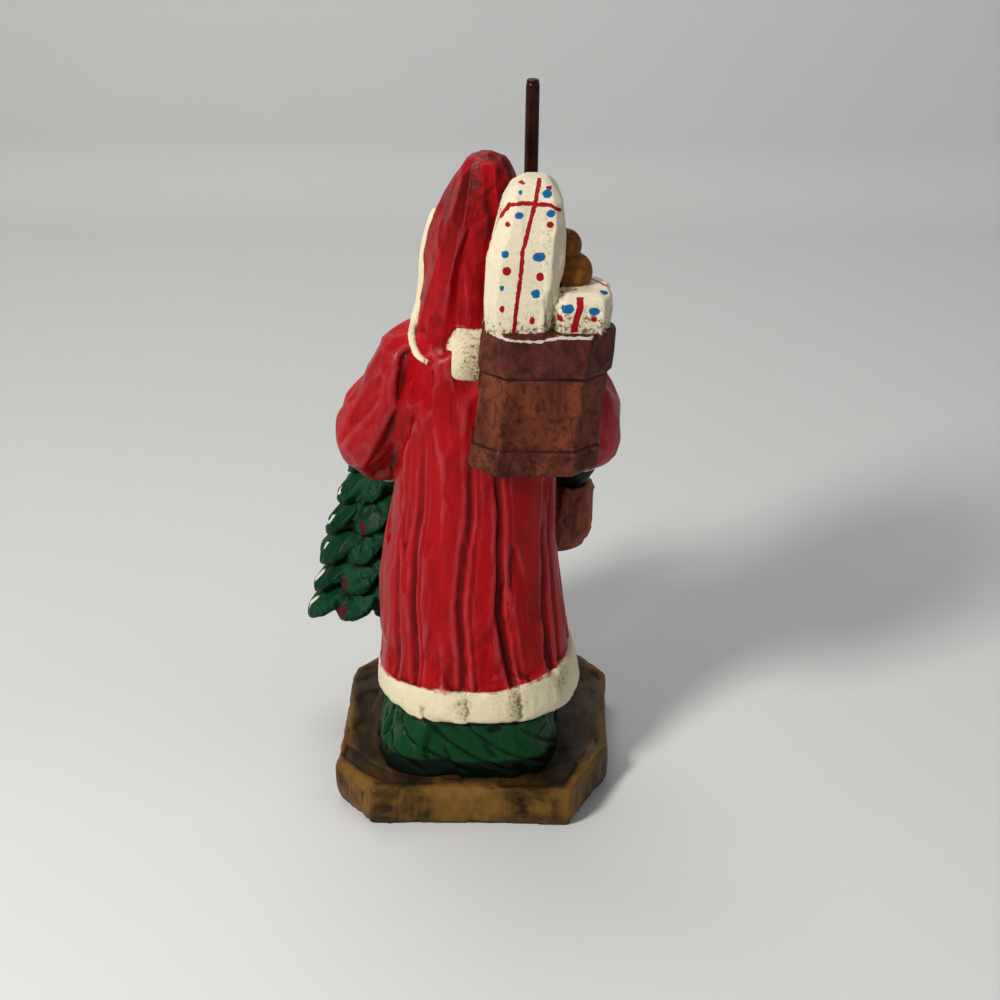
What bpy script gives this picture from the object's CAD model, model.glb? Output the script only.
import math
import bpy
import numpy as np
from mathutils import Matrix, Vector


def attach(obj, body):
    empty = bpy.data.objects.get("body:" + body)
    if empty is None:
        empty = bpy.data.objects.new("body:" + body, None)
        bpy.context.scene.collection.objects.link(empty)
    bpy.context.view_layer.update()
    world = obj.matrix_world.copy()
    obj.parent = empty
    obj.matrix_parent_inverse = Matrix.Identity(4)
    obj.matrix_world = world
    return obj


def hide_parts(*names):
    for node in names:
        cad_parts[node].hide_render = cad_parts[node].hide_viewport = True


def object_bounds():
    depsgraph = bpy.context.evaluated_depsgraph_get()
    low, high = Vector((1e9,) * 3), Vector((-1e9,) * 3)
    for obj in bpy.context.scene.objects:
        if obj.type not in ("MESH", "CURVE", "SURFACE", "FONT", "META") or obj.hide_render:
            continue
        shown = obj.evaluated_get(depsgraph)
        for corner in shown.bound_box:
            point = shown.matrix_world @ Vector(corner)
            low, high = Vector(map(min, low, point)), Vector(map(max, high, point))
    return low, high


# Shapes are worked out in millimetres and written to the meshes in metres.
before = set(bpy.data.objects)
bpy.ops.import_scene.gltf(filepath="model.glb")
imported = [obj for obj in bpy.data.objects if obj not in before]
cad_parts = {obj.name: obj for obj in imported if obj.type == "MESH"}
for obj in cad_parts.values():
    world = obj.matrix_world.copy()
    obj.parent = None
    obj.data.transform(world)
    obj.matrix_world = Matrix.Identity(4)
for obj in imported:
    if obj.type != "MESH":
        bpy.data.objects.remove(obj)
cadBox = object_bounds()
mm = 0.001
baseHeight = 19.5
chance = np.random.default_rng(24)

print("frame loaded")


# working out shapes

# 0 below low, 1 above high, and an S-shaped rise between: t squared times (3 - 2t)
def smooth(low, high, value):
    t = np.clip((np.asarray(value, float) - low) / (high - low), 0, 1)
    return t * t * (3 - 2 * t)


# cubic through the rows of a table, first column the height or the share of a path; each inner
# slope is the weighted slope of the neighbouring rows, and the ends don't bend
def between(rows, at):
    rows = np.asarray(rows, float)
    places, values = rows[:, 0], rows[:, 1:]
    at = np.clip(np.asarray(at, float), places[0], places[-1])
    i = np.clip(np.searchsorted(places, at, side="right"), 1, len(places) - 1)
    t0, t1 = places[i - 1], places[i]
    first, last = i == 1, i == len(places) - 1
    tBefore = np.where(first, 2 * t0 - t1, places[np.maximum(i - 2, 0)])
    tAfter = np.where(last, 2 * t1 - t0, places[np.minimum(i + 1, len(places) - 1)])
    vBefore = np.where(first[..., None], values[i], values[np.maximum(i - 2, 0)])
    vAfter = np.where(last[..., None], values[i - 1], values[np.minimum(i + 1, len(places) - 1)])
    half = (t1 - t0) / 2
    wBefore, wAfter = half / (t0 - tBefore), half / (tAfter - t1)
    p = (at - t0) / (t1 - t0)
    sBefore = -wBefore * p**3 + 2 * wBefore * p**2 - wBefore * p
    s0 = (1 + wBefore) * p**3 + (-1.5 - 2 * wBefore) * p**2 + (-0.5 + wBefore) * p + 1
    s1 = (-1 - wAfter) * p**3 + (1.5 + wAfter) * p**2 + 0.5 * p
    sAfter = wAfter * p**3 - wAfter * p**2
    weights = np.stack([sBefore, s0, s1, sAfter])[..., None]
    return (weights * np.stack([vBefore, values[i - 1], values[i], vAfter])).sum(0)


# degrees from a mark to an angle, the short way round
def turn(angle, mark):
    return np.mod(angle - mark + 180, 360) - 180


# radius of a section at an angle. With a power it is a rounded box: (|sin|/half width)^power +
# (|cos|/half depth)^power, to the -1/power. With corners it is a block: 1 / the largest side's reach
def roundRadius(angle, halfWidth, halfDepth, power):
    a = np.radians(angle)
    across, along = -np.sin(a) / halfWidth, np.cos(a) / halfDepth
    if isinstance(power, (int, float)):
        return (np.abs(across) ** power + np.abs(along) ** power) ** (-1 / power)
    corners = np.array(power, float)
    side = np.roll(corners, -1, 0) - corners
    normal = np.stack([side[:, 1], -side[:, 0]], 1)
    normal = normal / (normal * corners).sum(1)[:, None]
    return 1 / np.max([across * nx + along * ny for nx, ny in normal], 0)


# depth of grooves with flat floors: each row is degrees at the low end, degrees at the high end,
# depth, half width. depth x (1.6 x (1 - degrees off / half width)), at most the depth
def foldDepth(folds, rise, angle):
    depth = 0
    for low, high, deep, halfWidth in folds:
        away = np.abs(turn(angle, low + (high - low) * rise)) / halfWidth
        depth = depth + deep * np.clip(1.6 * (1 - away), 0, 1)
    return depth


# straight lines between the rows of a table
def straightRows(rows, at):
    rows = np.asarray(rows, float)
    return np.stack([np.interp(at, rows[:, 0], rows[:, k]) for k in range(1, rows.shape[1])], -1)


def unit(vectors):
    return vectors / np.maximum(np.linalg.norm(vectors, axis=-1, keepdims=True), 1e-9)


# upright form: at each height the rows give the middle and half sizes, and a point lies at the
# rounded box's radius plus what is carved there. away() is how far outside it a point is.
def uprightForm(rows, power=2, carve=None, lift=None, sides=300, step=0.9, grain=(0, 0, 1), straight=False):
    low, high = rows[0][0], rows[-1][0]
    carve = carve or (lambda angle, height: 0 * angle)
    lift = lift or (lambda angle, height: 0 * angle)
    height = np.linspace(low, high, int((high - low) / step) + 2)[:, None]
    angle = np.linspace(0, 360, sides, endpoint=False)[None, :]
    rowsAt = straightRows if straight else between
    x, y, halfWidth, halfDepth = np.moveaxis(rowsAt(rows, height[:, 0]), -1, 0)[..., None]
    radius = roundRadius(angle, halfWidth, halfDepth, power) + carve(angle, height)
    a = np.radians(angle)
    points = np.stack([x - np.sin(a) * radius, y + np.cos(a) * radius, height + lift(angle, height)], -1)

    def away(p):
        x, y, halfWidth, halfDepth = rowsAt(rows, p[:, 2]).T
        angle = np.degrees(np.arctan2(x - p[:, 0], p[:, 1] - y))
        radius = roundRadius(angle, halfWidth, halfDepth, power) + carve(angle, p[:, 2])
        sideways = np.hypot(p[:, 0] - x, p[:, 1] - y) - radius
        return np.maximum(sideways, np.maximum(low - p[:, 2], p[:, 2] - high))

    return {"points": points, "away": away, "grain": np.array(grain, float)}


# limb: a rounded box section carried along a path, across being as level as the path allows
def limbForm(rows, power=2.3, sides=90, levels=90, carve=None):
    share = np.linspace(0, 1, levels + 1)
    middle = between(rows, share)
    along = unit(between(rows, np.minimum(share + 0.02, 1))[:, :3] - between(rows, np.maximum(share - 0.02, 0))[:, :3])
    across = unit(np.array([1.0, 0, 0]) - along * along[:, :1])
    up = np.cross(along, across)
    angle = np.linspace(0, 360, sides, endpoint=False)[None, :]
    radius = roundRadius(angle, middle[:, 3:4], middle[:, 4:5], power)
    if carve:
        radius = radius + carve(angle, share[:, None])
    a = np.radians(angle)[..., None]
    points = middle[:, None, :3] + radius[..., None] * (np.sin(a) * across[:, None] + np.cos(a) * up[:, None])

    def away(p):
        near = ((p[:, None, :] - middle[None, :, :3]) ** 2).sum(-1).argmin(1)
        rel = p - middle[near, :3]
        sideways, upwards = (rel * across[near]).sum(-1), (rel * up[near]).sum(-1)
        angle = np.degrees(np.arctan2(sideways, upwards))
        out = np.hypot(sideways, upwards) - roundRadius(angle, middle[near, 3], middle[near, 4], power)
        end = (rel * along[near]).sum(-1)
        end = np.where(near == 0, -end, np.where(near == levels, end, -1e3))
        return np.maximum(out, end)

    return {"points": points, "away": away, "grain": unit(along.mean(0))}


# turns about x, then y, then z, in degrees
def turnMatrix(degreesXYZ):
    a, b, c = np.radians(degreesXYZ)
    turnX = np.array([[1, 0, 0], [0, np.cos(a), -np.sin(a)], [0, np.sin(a), np.cos(a)]])
    turnY = np.array([[np.cos(b), 0, np.sin(b)], [0, 1, 0], [-np.sin(b), 0, np.cos(b)]])
    turnZ = np.array([[np.cos(c), -np.sin(c), 0], [np.sin(c), np.cos(c), 0], [0, 0, 1]])
    return turnZ @ turnY @ turnX


# egg-shaped lump: a ball stretched to half sizes, turned and put in its place
def lumpForm(place, size, turned=(0, 0, 0), sides=40, levels=24):
    place, size, matrix = np.array(place, float), np.array(size, float), turnMatrix(turned)
    down = np.linspace(0.06, math.pi - 0.06, levels + 1)[:, None]
    round_ = np.linspace(0, 2 * math.pi, sides, endpoint=False)[None, :]
    ball = np.stack([np.sin(down) * np.cos(round_), np.sin(down) * np.sin(round_), np.cos(down) + 0 * round_], -1)
    points = (ball * size) @ matrix.T + place

    def away(p):
        inner = ((p - place) @ matrix) / size
        return (np.linalg.norm(inner, axis=-1) - 1) * size.min()

    return {"points": points, "away": away, "grain": np.array([0, 0, 1.0])}


# one surface through the rows of a grid that closes round sideways, ended with a fan at each end,
# or joined end to end where it is a ring
def shellOf(points, ring=False):
    levels, sides = points.shape[:2]
    index = np.arange(levels * sides).reshape(levels, sides)
    a, b = index, np.roll(index, -1, 1)
    c, d = (np.roll(a, -1, 0), np.roll(b, -1, 0)) if ring else (a[1:], b[1:])
    if not ring:
        a, b = a[:-1], b[:-1]
    triangles = np.concatenate([np.stack([a, b, c], -1).reshape(-1, 3), np.stack([b, d, c], -1).reshape(-1, 3)])
    flat = points.reshape(-1, 3)
    if not ring:
        ends = np.stack([points[0].mean(0), points[-1].mean(0)])
        first, last = index[0], index[-1]
        low = np.stack([np.roll(first, -1), first, np.full(sides, len(flat))], -1)
        high = np.stack([last, np.roll(last, -1), np.full(sides, len(flat) + 1)], -1)
        triangles = np.concatenate([triangles, low, high])
        flat = np.concatenate([flat, ends])
    corners = flat[triangles]
    volume = (corners[:, 0] * np.cross(corners[:, 1], corners[:, 2])).sum()
    return flat, triangles if volume > 0 else triangles[:, ::-1]


def meshOf(name, points, faces):
    mesh = bpy.data.meshes.new(name)
    mesh.vertices.add(len(points))
    mesh.vertices.foreach_set("co", np.ascontiguousarray(points, np.float32).ravel())
    mesh.loops.add(faces.size)
    mesh.loops.foreach_set("vertex_index", np.ascontiguousarray(faces, np.int32).ravel())
    mesh.polygons.add(len(faces))
    mesh.polygons.foreach_set("loop_start", np.arange(0, faces.size, faces.shape[1], dtype=np.int32))
    mesh.update(calc_edges=True)
    return mesh


def withModifier(mesh, kind, settings):
    piece = bpy.data.objects.new("rough", mesh)
    bpy.context.scene.collection.objects.link(piece)
    modifier = piece.modifiers.new("step", kind)
    for key, value in settings.items():
        setattr(modifier, key, value)
    graph = bpy.context.evaluated_depsgraph_get()
    made = bpy.data.meshes.new_from_object(piece.evaluated_get(graph))
    bpy.data.objects.remove(piece)
    bpy.data.meshes.remove(mesh)
    return made


# overlapping shells fused into one skin of even squares
def fuse(name, forms, voxel):
    shells = [shellOf(form["points"], form.get("ring", False)) for form in forms]
    starts = np.cumsum([0] + [len(points) for points, _ in shells[:-1]])
    points = np.concatenate([points for points, _ in shells])
    triangles = np.concatenate([faces + start for (_, faces), start in zip(shells, starts)])
    return withModifier(meshOf(name, points, triangles), "REMESH", {"mode": "VOXEL", "voxel_size": voxel})


def placesOf(mesh):
    places = np.empty(len(mesh.vertices) * 3, np.float32)
    mesh.vertices.foreach_get("co", places)
    return places.reshape(-1, 3).astype(float)


def setPlaces(mesh, places):
    mesh.vertices.foreach_set("co", np.ascontiguousarray(places, np.float32).ravel())
    mesh.update()


def edgesOf(mesh):
    edges = np.empty(len(mesh.edges) * 2, np.int32)
    mesh.edges.foreach_get("vertices", edges)
    return edges.reshape(-1, 2)


def normalsOf(mesh):
    normals = np.empty(len(mesh.vertices) * 3, np.float32)
    mesh.vertex_normals.foreach_get("vector", normals)
    return normals.reshape(-1, 3).astype(float)


# each value moves half way to the mean of its neighbours, a number of times
def spread(values, edges, times):
    count = len(values)
    one, two = edges.T
    neighbours = np.maximum(np.bincount(edges.ravel(), minlength=count), 1)[:, None]
    for _ in range(times):
        total = np.stack(
            [
                np.bincount(one, values[two, k], count) + np.bincount(two, values[one, k], count)
                for k in range(values.shape[1])
            ],
            1,
        )
        values = 0.5 * values + 0.5 * total / neighbours
    return values


# how hollow the surface is at each vertex: height of the smoothed surface above it, along the normal
def hollowness(mesh, times):
    places, edges = placesOf(mesh), edgesOf(mesh)
    return ((spread(places, edges, times) - places) * normalsOf(mesh)).sum(-1)


# Knife cuts: seeds are strewn over the surface, each with a flat cut through it, and a vertex moves
# along its normal onto the cuts of its nearest seeds, weighted by exp(-distance squared / softness).
# Distances along the grain count less, so that cuts are long.
def whittle(mesh, grain, cut, share=1.0):
    places, edges = placesOf(mesh), edgesOf(mesh)
    normals = unit(spread(normalsOf(mesh), edges, cut.get("evenOut", 6)))
    pick = np.random.default_rng(cut["seed"])
    squeeze = 1 - (1 - cut["width"] / cut["length"]) * np.abs(grain)
    cell = np.floor(places * squeeze / cut["width"] + pick.random(3)).astype(np.int64)
    key = cell[:, 0] * 73856093 ^ cell[:, 1] * 19349663 ^ cell[:, 2] * 83492791
    order = pick.permutation(len(places))
    _, firsts = np.unique(key[order], return_index=True)
    seeds = order[firsts]
    seedGrain = grain[seeds]
    seedPlace = places[seeds] + normals[seeds] * pick.normal(0, cut["depth"], (len(seeds), 1))
    wobble = pick.normal(0, cut["tilt"], (len(seeds), 3))
    wobble = wobble - 0.85 * (wobble * seedGrain).sum(1)[:, None] * seedGrain
    seedNormal = unit(normals[seeds] + wobble)
    short = 1 - (cut["width"] / cut["length"]) ** 2
    moved = np.zeros(len(places))
    block = np.floor(places / 18).astype(np.int64)
    block = block[:, 0] * 73856093 ^ block[:, 1] * 19349663 ^ block[:, 2] * 83492791
    order = np.argsort(block, kind="stable")
    for group in np.split(order, np.flatnonzero(np.diff(block[order])) + 1):
        here, normal = places[group], normals[group]
        reach = 0.7 * cut["length"] + 2
        close = ((seedPlace > here.min(0) - reach) & (seedPlace < here.max(0) + reach)).all(1)
        if close.sum() < 6:
            continue
        place, facing, along = seedPlace[close], seedNormal[close], seedGrain[close]
        square = (here**2).sum(1)[:, None] + (place**2).sum(1)[None] - 2 * here @ place.T
        square = square - short * (here @ along.T - (place * along).sum(1)[None]) ** 2
        cosine = normal @ facing.T
        square = square + 400 * (cosine < 0.4)
        near = np.argpartition(square, 5, axis=1)[:, :5]
        square = np.take_along_axis(square, near, 1)
        cosine = np.maximum(np.take_along_axis(cosine, near, 1), 0.5)
        onto = ((place[near] - here[:, None]) * facing[near]).sum(-1) / cosine
        onto = np.clip(onto, -cut["limit"], cut["limit"])
        weight = np.exp(-(square - square.min(1, keepdims=True)) / cut["softness"])
        moved[group] = (onto * weight).sum(1) / weight.sum(1)
    setPlaces(mesh, places + normals * (moved * share)[:, None])


# flat knife cuts: each row is three places on the wood, how deep the cut lies under them and how far
# it reaches. What stands out over the plane goes back onto it
def flats(mesh, rows, middle):
    places = placesOf(mesh)
    normals = normalsOf(mesh)
    for corners, deep, reach in rows:
        corners = np.array(corners, float)
        centre = corners.mean(0)
        facing = unit(np.cross(corners[1] - corners[0], corners[2] - corners[0]))
        facing = facing * np.sign(facing @ (centre - np.array(middle)))
        over = (places - centre) @ facing + deep
        far = np.linalg.norm(places - centre, axis=1)
        share = (1 - smooth(reach * 0.6, reach, far)) * smooth(0.3, 0.5, normals @ facing)
        over = np.maximum(over, 0) * (1 - smooth(2.5, 5, over))
        places = places - facing * (over * share)[:, None]
    setPlaces(mesh, places)


def attribute(mesh, name, values):
    if name in mesh.attributes:
        mesh.attributes.remove(mesh.attributes[name])
    layer = mesh.attributes.new(name, "FLOAT", "POINT")
    layer.data.foreach_set("value", np.ascontiguousarray(values, np.float32))


# a finished piece: millimetres to metres, smooth shading, riding on the part in place of its node
def finishPiece(name, mesh, node, material):
    low, high = np.array(cadBox) / mm
    setPlaces(mesh, np.clip(placesOf(mesh), low + [0.03, 0.03, 0], high - 0.03) * mm)
    mesh.polygons.foreach_set("use_smooth", np.ones(len(mesh.polygons), bool))
    mesh.materials.clear()
    mesh.materials.append(material)
    mesh.name = name
    piece = bpy.data.objects.new(name, mesh)
    bpy.context.scene.collection.objects.link(piece)
    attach(piece, "root")
    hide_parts(node)
    print(name, len(mesh.vertices), "vertices", len(mesh.polygons), "faces")
    return piece


# distance from points to a line through a few corners, in the plane of x and z
def lineDistance(x, z, corners):
    corners = np.array(corners, float)
    best = np.full(np.shape(x), 1e3)
    for (ax, az), (bx, bz) in zip(corners[:-1], corners[1:]):
        length = (bx - ax) ** 2 + (bz - az) ** 2
        share = np.clip(((x - ax) * (bx - ax) + (z - az) * (bz - az)) / length, 0, 1)
        best = np.minimum(best, np.hypot(x - ax - share * (bx - ax), z - az - share * (bz - az)))
    return best


# how far inside painted ellipses a point is, measured along two axes
def ellipseMargin(p, dots, across=0, up=2):
    best = np.full(len(p), -5.0)
    for a, z, halfWidth, halfHeight in dots:
        scaled = np.hypot((p[:, across] - a) / halfWidth, (p[:, up] - z) / halfHeight)
        best = np.maximum(best, (1 - scaled) * min(halfWidth, halfHeight))
    return best


# paint

# one place for making and joining shader nodes
class Nodes:
    def __init__(self, name):
        self.material = bpy.data.materials.new(name)
        self.material.use_nodes = True
        self.tree = self.material.node_tree
        self.tree.nodes.clear()
        self.output = self.make("OutputMaterial")
        self.shader = self.make("BsdfPrincipled")
        self.join(self.shader.outputs[0], self.output.inputs[0])
        self.place = self.make("TexCoord").outputs["Object"]

    def make(self, kind, **settings):
        node = self.tree.nodes.new("ShaderNode" + kind)
        for key, value in settings.items():
            setattr(node, key, value)
        return node

    def join(self, source, target):
        self.tree.links.new(source, target)

    def put(self, target, value):
        if isinstance(value, bpy.types.NodeSocket):
            self.join(value, target)
        else:
            target.default_value = value

    def value(self, name):
        return self.make("Attribute", attribute_name=name).outputs["Fac"]

    def sum(self, kind, *values):
        node = self.make("Math", operation=kind)
        for target, value in zip(node.inputs, values):
            self.put(target, value)
        return node.outputs[0]

    # stretched noise: scale in cells for each metre along x, y and z
    def noise(self, scale, detail=3, rough=0.55, warp=0.0, offset=0.0):
        mapping = self.make("Mapping")
        self.join(self.place, mapping.inputs["Vector"])
        mapping.inputs["Scale"].default_value = scale
        mapping.inputs["Location"].default_value = (offset, offset * 1.7, offset * 0.6)
        node = self.make("TexNoise")
        self.join(mapping.outputs[0], node.inputs["Vector"])
        node.inputs["Scale"].default_value = 1
        node.inputs["Detail"].default_value = detail
        node.inputs["Roughness"].default_value = rough
        node.inputs["Distortion"].default_value = warp
        return node.outputs["Fac"]

    # a value taken from one range to another, held at both ends
    def ranged(self, value, low, high, lowTo=0.0, highTo=1.0):
        node = self.make("MapRange", interpolation_type="SMOOTHSTEP")
        for target, number in zip(node.inputs, (value, low, high, lowTo, highTo)):
            self.put(target, number)
        return node.outputs[0]

    def mix(self, share, one, two, blend="MIX"):
        node = self.make("Mix", data_type="RGBA", blend_type=blend)
        self.put(node.inputs["Factor"], share)
        for target, colour in ((node.inputs[6], one), (node.inputs[7], two)):
            if isinstance(colour, bpy.types.NodeSocket):
                self.join(colour, target)
            else:
                target.default_value = (*colour, 1)
        return node.outputs[2]

    # inside of a painted edge: 1 where the margin in millimetres is positive, with a ragged line
    def inside(self, margin, ragged, softness=0.25):
        wander = self.sum("MULTIPLY_ADD", ragged, 1.6, -0.8)
        return self.ranged(self.sum("ADD", margin, wander), -softness, softness)

    def bump(self, *heights):
        normal = None
        for height, strength, depth in heights:
            node = self.make("Bump")
            node.inputs["Strength"].default_value = strength
            node.inputs["Distance"].default_value = depth * mm
            self.join(height, node.inputs["Height"])
            if normal:
                self.join(normal, node.inputs["Normal"])
            normal = node.outputs[0]
        self.join(normal, self.shader.inputs["Normal"])

    def finish(self, colour, roughness, specular=0.12):
        self.put(self.shader.inputs["Base Color"], colour)
        self.put(self.shader.inputs["Roughness"], roughness)
        self.shader.inputs["Specular IOR Level"].default_value = specular
        return self.material


figurePaint = {
    "red": (0.28, 0.0012, 0.0035),
    "redDeep": (0.055, 0.001, 0.0015),
    "redBright": (0.38, 0.002, 0.006),
    "cream": (0.7, 0.61, 0.41),
    "creamDirt": (0.15, 0.1, 0.04),
    "green": (0.002, 0.036, 0.008),
    "greenDeep": (0.001, 0.0045, 0.0015),
    "black": (0.004, 0.004, 0.004),
    "skin": (0.62, 0.3, 0.19),
    "blush": (0.6, 0.13, 0.09),
    "gloss": 0.33,
}


def figureMaterial():
    paint = figurePaint
    n = Nodes("antiqued paint")
    hollow = n.value("hollow")
    broad = n.noise((38, 38, 14), 4)
    streaks = n.noise((420, 420, 40), 3, 0.6, 0.4)
    fine = n.noise((900, 900, 700), 2, 0.6)
    grit = n.noise((1500, 1500, 1500), 1, 0.5, 0, 3)
    ragged = n.sum("MULTIPLY_ADD", n.noise((190, 190, 190), 3, 0.5, 0, 7), 0.55, 0.225)
    # red: darker in hollows and streaks, brighter on ridges
    red = n.mix(n.ranged(broad, 0.35, 0.7), paint["red"], paint["redBright"])
    red = n.mix(n.ranged(streaks, 0.5, 0.78, 0, 0.55), red, paint["redDeep"])
    shade = n.sum("MULTIPLY", n.value("shade"), n.ranged(n.noise((150, 150, 90), 4, 0.65, 0.3, 21), 0.32, 0.62))
    red = n.mix(n.ranged(shade, 0, 1), red, paint["redDeep"])
    red = n.mix(n.ranged(hollow, 0.06, 0.55, 0, 0.85), red, paint["redDeep"])
    red = n.mix(n.ranged(grit, 0.66, 0.8, 0, 0.35), red, (0.03, 0.002, 0.002))
    ridge = n.sum("MULTIPLY", n.ranged(hollow, -0.04, -0.3), n.ranged(streaks, 0.35, 0.65, 0.25, 1))
    red = n.mix(n.sum("MULTIPLY", ridge, 0.3), red, (0.5, 0.09, 0.11))
    # cream: brown dirt in hollows, and specks
    dirt = n.sum("MULTIPLY_ADD", n.ranged(broad, 0.42, 0.72), 0.5, n.ranged(hollow, 0.0, 0.4, 0, 0.8))
    specks = n.ranged(n.noise((700, 700, 700), 3, 0.7, 0.3, 11), 0.5, 0.66)
    dirt = n.sum("MULTIPLY", n.sum("ADD", dirt, n.value("grime")), n.sum("MULTIPLY_ADD", specks, 0.6, 0.4))
    cream = n.mix(n.ranged(fine, 0.4, 0.7, 0, 0.25), paint["cream"], (0.5, 0.45, 0.3))
    cream = n.mix(n.ranged(dirt, 0.05, 0.9), cream, paint["creamDirt"])
    # green: black-green at the foot and in the folds
    green = n.mix(n.ranged(streaks, 0.4, 0.7, 0, 0.5), paint["green"], (0.003, 0.055, 0.013))
    green = n.mix(n.ranged(hollow, 0.0, 0.35, 0, 0.85), green, paint["greenDeep"])
    foot = n.sum("MULTIPLY_ADD", n.noise((60, 60, 30), 2, 0.5, 0, 5), 5.0, n.value("foot"))
    green = n.mix(n.ranged(foot, 1.8, 3.2), green, paint["greenDeep"])
    skin = n.mix(n.ranged(n.value("blush"), 0, 1), paint["skin"], paint["blush"])
    skin = n.mix(n.ranged(hollow, 0.05, 0.5, 0, 0.6), skin, paint["creamDirt"])
    inCream = n.inside(n.value("cream"), ragged)
    colour = n.mix(inCream, red, cream)
    inGreen = n.inside(n.value("green"), ragged)
    colour = n.mix(inGreen, colour, green)
    small = n.sum("MULTIPLY_ADD", ragged, 0.3, 0.35)
    skin = n.mix(n.inside(n.value("lip"), small, 0.2), skin, face["lipColour"])
    skin = n.mix(n.inside(n.value("eyeWhite"), small, 0.12), skin, (0.62, 0.6, 0.54))
    skin = n.mix(n.inside(n.value("iris"), small, 0.12), skin, face["irisColour"])
    colour = n.mix(n.inside(n.value("skin"), ragged), colour, skin)
    colour = n.mix(n.inside(n.value("black"), ragged), colour, paint["black"])
    matt = n.sum("MULTIPLY_ADD", inCream, 0.25, n.ranged(broad, 0.3, 0.7, paint["gloss"] - 0.08, paint["gloss"] + 0.1))
    matt = n.sum("MULTIPLY_ADD", n.ranged(grit, 0.6, 0.75), 0.2, matt)
    n.bump((streaks, 0.5, 0.35), (fine, 0.35, 0.2), (specks, 0.12, 0.2))
    return n.finish(colour, matt)


# the figure

coat = {
    "hem": 48.5,
    "rows": [
        [48.5, -4, 12, 47.2, 48],
        [63, -3.2, 12, 45.5, 46],
        [72, -2.5, 12, 44, 43.8],
        [85, -1, 12, 43.9, 41.5],
        [116, 0, 12, 40.8, 38],
        [150, -2, 12.5, 38, 35],
        [180, -2, 13, 37, 32.5],
        [203, -1, 13, 35, 30],
        [220, 0, 12, 29, 26],
        [232, 0, 11, 20, 19],
    ],
    "folds": [
        [-82, -84, 1.4, 6],
        [-53, -55, 1, 3],
        [-38.5, -41.5, 1.9, 3.6],
        [-33.5, -36, 0.7, 1.8],
        [-8, -4, 2, 4.2],
        [-1, 3, 0.7, 1.8],
        [23.5, 19, 3, 3.8],
        [30, 26, 0.8, 2.2],
        [51, 59, 2, 3.6],
        [60, 69, 1.2, 2.6],
        [86, 92, 1.8, 5],
        [108, 110, 1.6, 6],
        [140, 138, 1.8, 5],
        [164, 164, 1.5, 4],
        [196, 196, 1.5, 4],
        [222, 224, 1.8, 5],
        [252, 250, 1.6, 6],
    ],
    "hemCreases": [[-5.6, -5.6, 0.55, 1.6], [23.9, 24.6, 0.7, 1.8], [52, 52, 0.35, 1.6], [140, 140, 0.6, 2], [222, 222, 0.6, 2]],
    "ledge": 4.6,
    # where the red is dark with dirt: middle, and reach along x, y and z
    "darkPlaces": [((-14, 57, 82), (13, 20, 20)), ((10, 57, 72), (9, 20, 14)), ((-32, 50, 96), (9, 20, 18)), ((4, 38, 212), (16, 14, 7)), ((2, 42, 195), (9, 14, 10)), ((45, 12, 158), (14, 16, 10)), ((-4, 44, 166), (10, 16, 12))],
    "furTop": 63.6,
    "furSlope": 4.8,
    "furThickness": 1.4,
    "hemWave": 1.1,
    "edgeHalfWidth": 10,
    "edgeThickness": 1.8,
    "edgeTop": 205,
}


def coatRise(height):
    return np.clip((height - coat["hem"]) / (150 - coat["hem"]), 0, 1.4)


# top of the fur hem, lower on his left and higher on his right: middle + slope x sin x |sin|
def furTopAt(angle):
    s = np.sin(np.radians(angle))
    return coat["furTop"] + coat["furSlope"] * s * np.abs(s)


def frontEdge(angle, height):
    half = coat["edgeHalfWidth"]
    return (1 - smooth(half - 2, half + 2, np.abs(turn(angle, 180)))) * (
        1 - smooth(coat["edgeTop"] - 10, coat["edgeTop"], height)
    )


def coatCarve(angle, height):
    top = furTopAt(angle)
    fur = coat["furThickness"] * (1 - smooth(top - 0.3, top + 0.7, height))
    return np.maximum(fur, coat["edgeThickness"] * frontEdge(angle, height))


def coatLift(angle, height):
    wave = 0.5 * np.sin(np.radians(angle * 5 + 40)) + 0.35 * np.sin(np.radians(angle * 11))
    return (1 - smooth(coat["hem"], coat["hem"] + 12, height)) * 0.4 * coat["hemWave"] * wave


# depth of the folds, which sway a little, die out at the fur and under the collar, and of the fur's creases
def coatFolds(angle, height):
    top = furTopAt(angle)
    inHem = 1 - smooth(top - 1, top + 1, height)
    fade = 1 - 0.4 * smooth(70, 170, height) - 0.6 * smooth(160, 196, height)
    sway = 0.8 * np.sin(height / 13 + angle / 20) + 0.4 * np.sin(height / 5)
    folds = foldDepth(coat["folds"], coatRise(height), angle + sway) * fade
    ledge = 0.28 * np.exp(-(((height - top - coat["ledge"] + 0.03 * angle) / 0.9) ** 2)) * smooth(-2, 8, angle) * (1 - smooth(66, 78, angle))
    return folds * (1 - inHem) + inHem * foldDepth(coat["hemCreases"], 0, angle + 0.5 * np.sin(height)) + ledge


# cuts grooves of a depth towards the upright middle line of a form, where the surface is that form's own
def cutGrooves(mesh, rows, away, depthAt, straight=False):
    places = placesOf(mesh)
    x, y = between(rows, places[:, 2])[:, :2].T
    out = unit(np.stack([places[:, 0] - x, places[:, 1] - y, 0 * x], 1))
    angle = np.degrees(np.arctan2(-out[:, 0], out[:, 1]))
    own = 1 - smooth(1.2, 2.6, np.abs(away(places)))
    inRows = (places[:, 2] > rows[0][0] + 0.2) & (np.abs(normalsOf(mesh)[:, 2]) < 0.8)
    depth = depthAt(angle, places[:, 2]) * own * inRows
    setPlaces(mesh, places - out * depth[:, None])
    return depth


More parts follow.
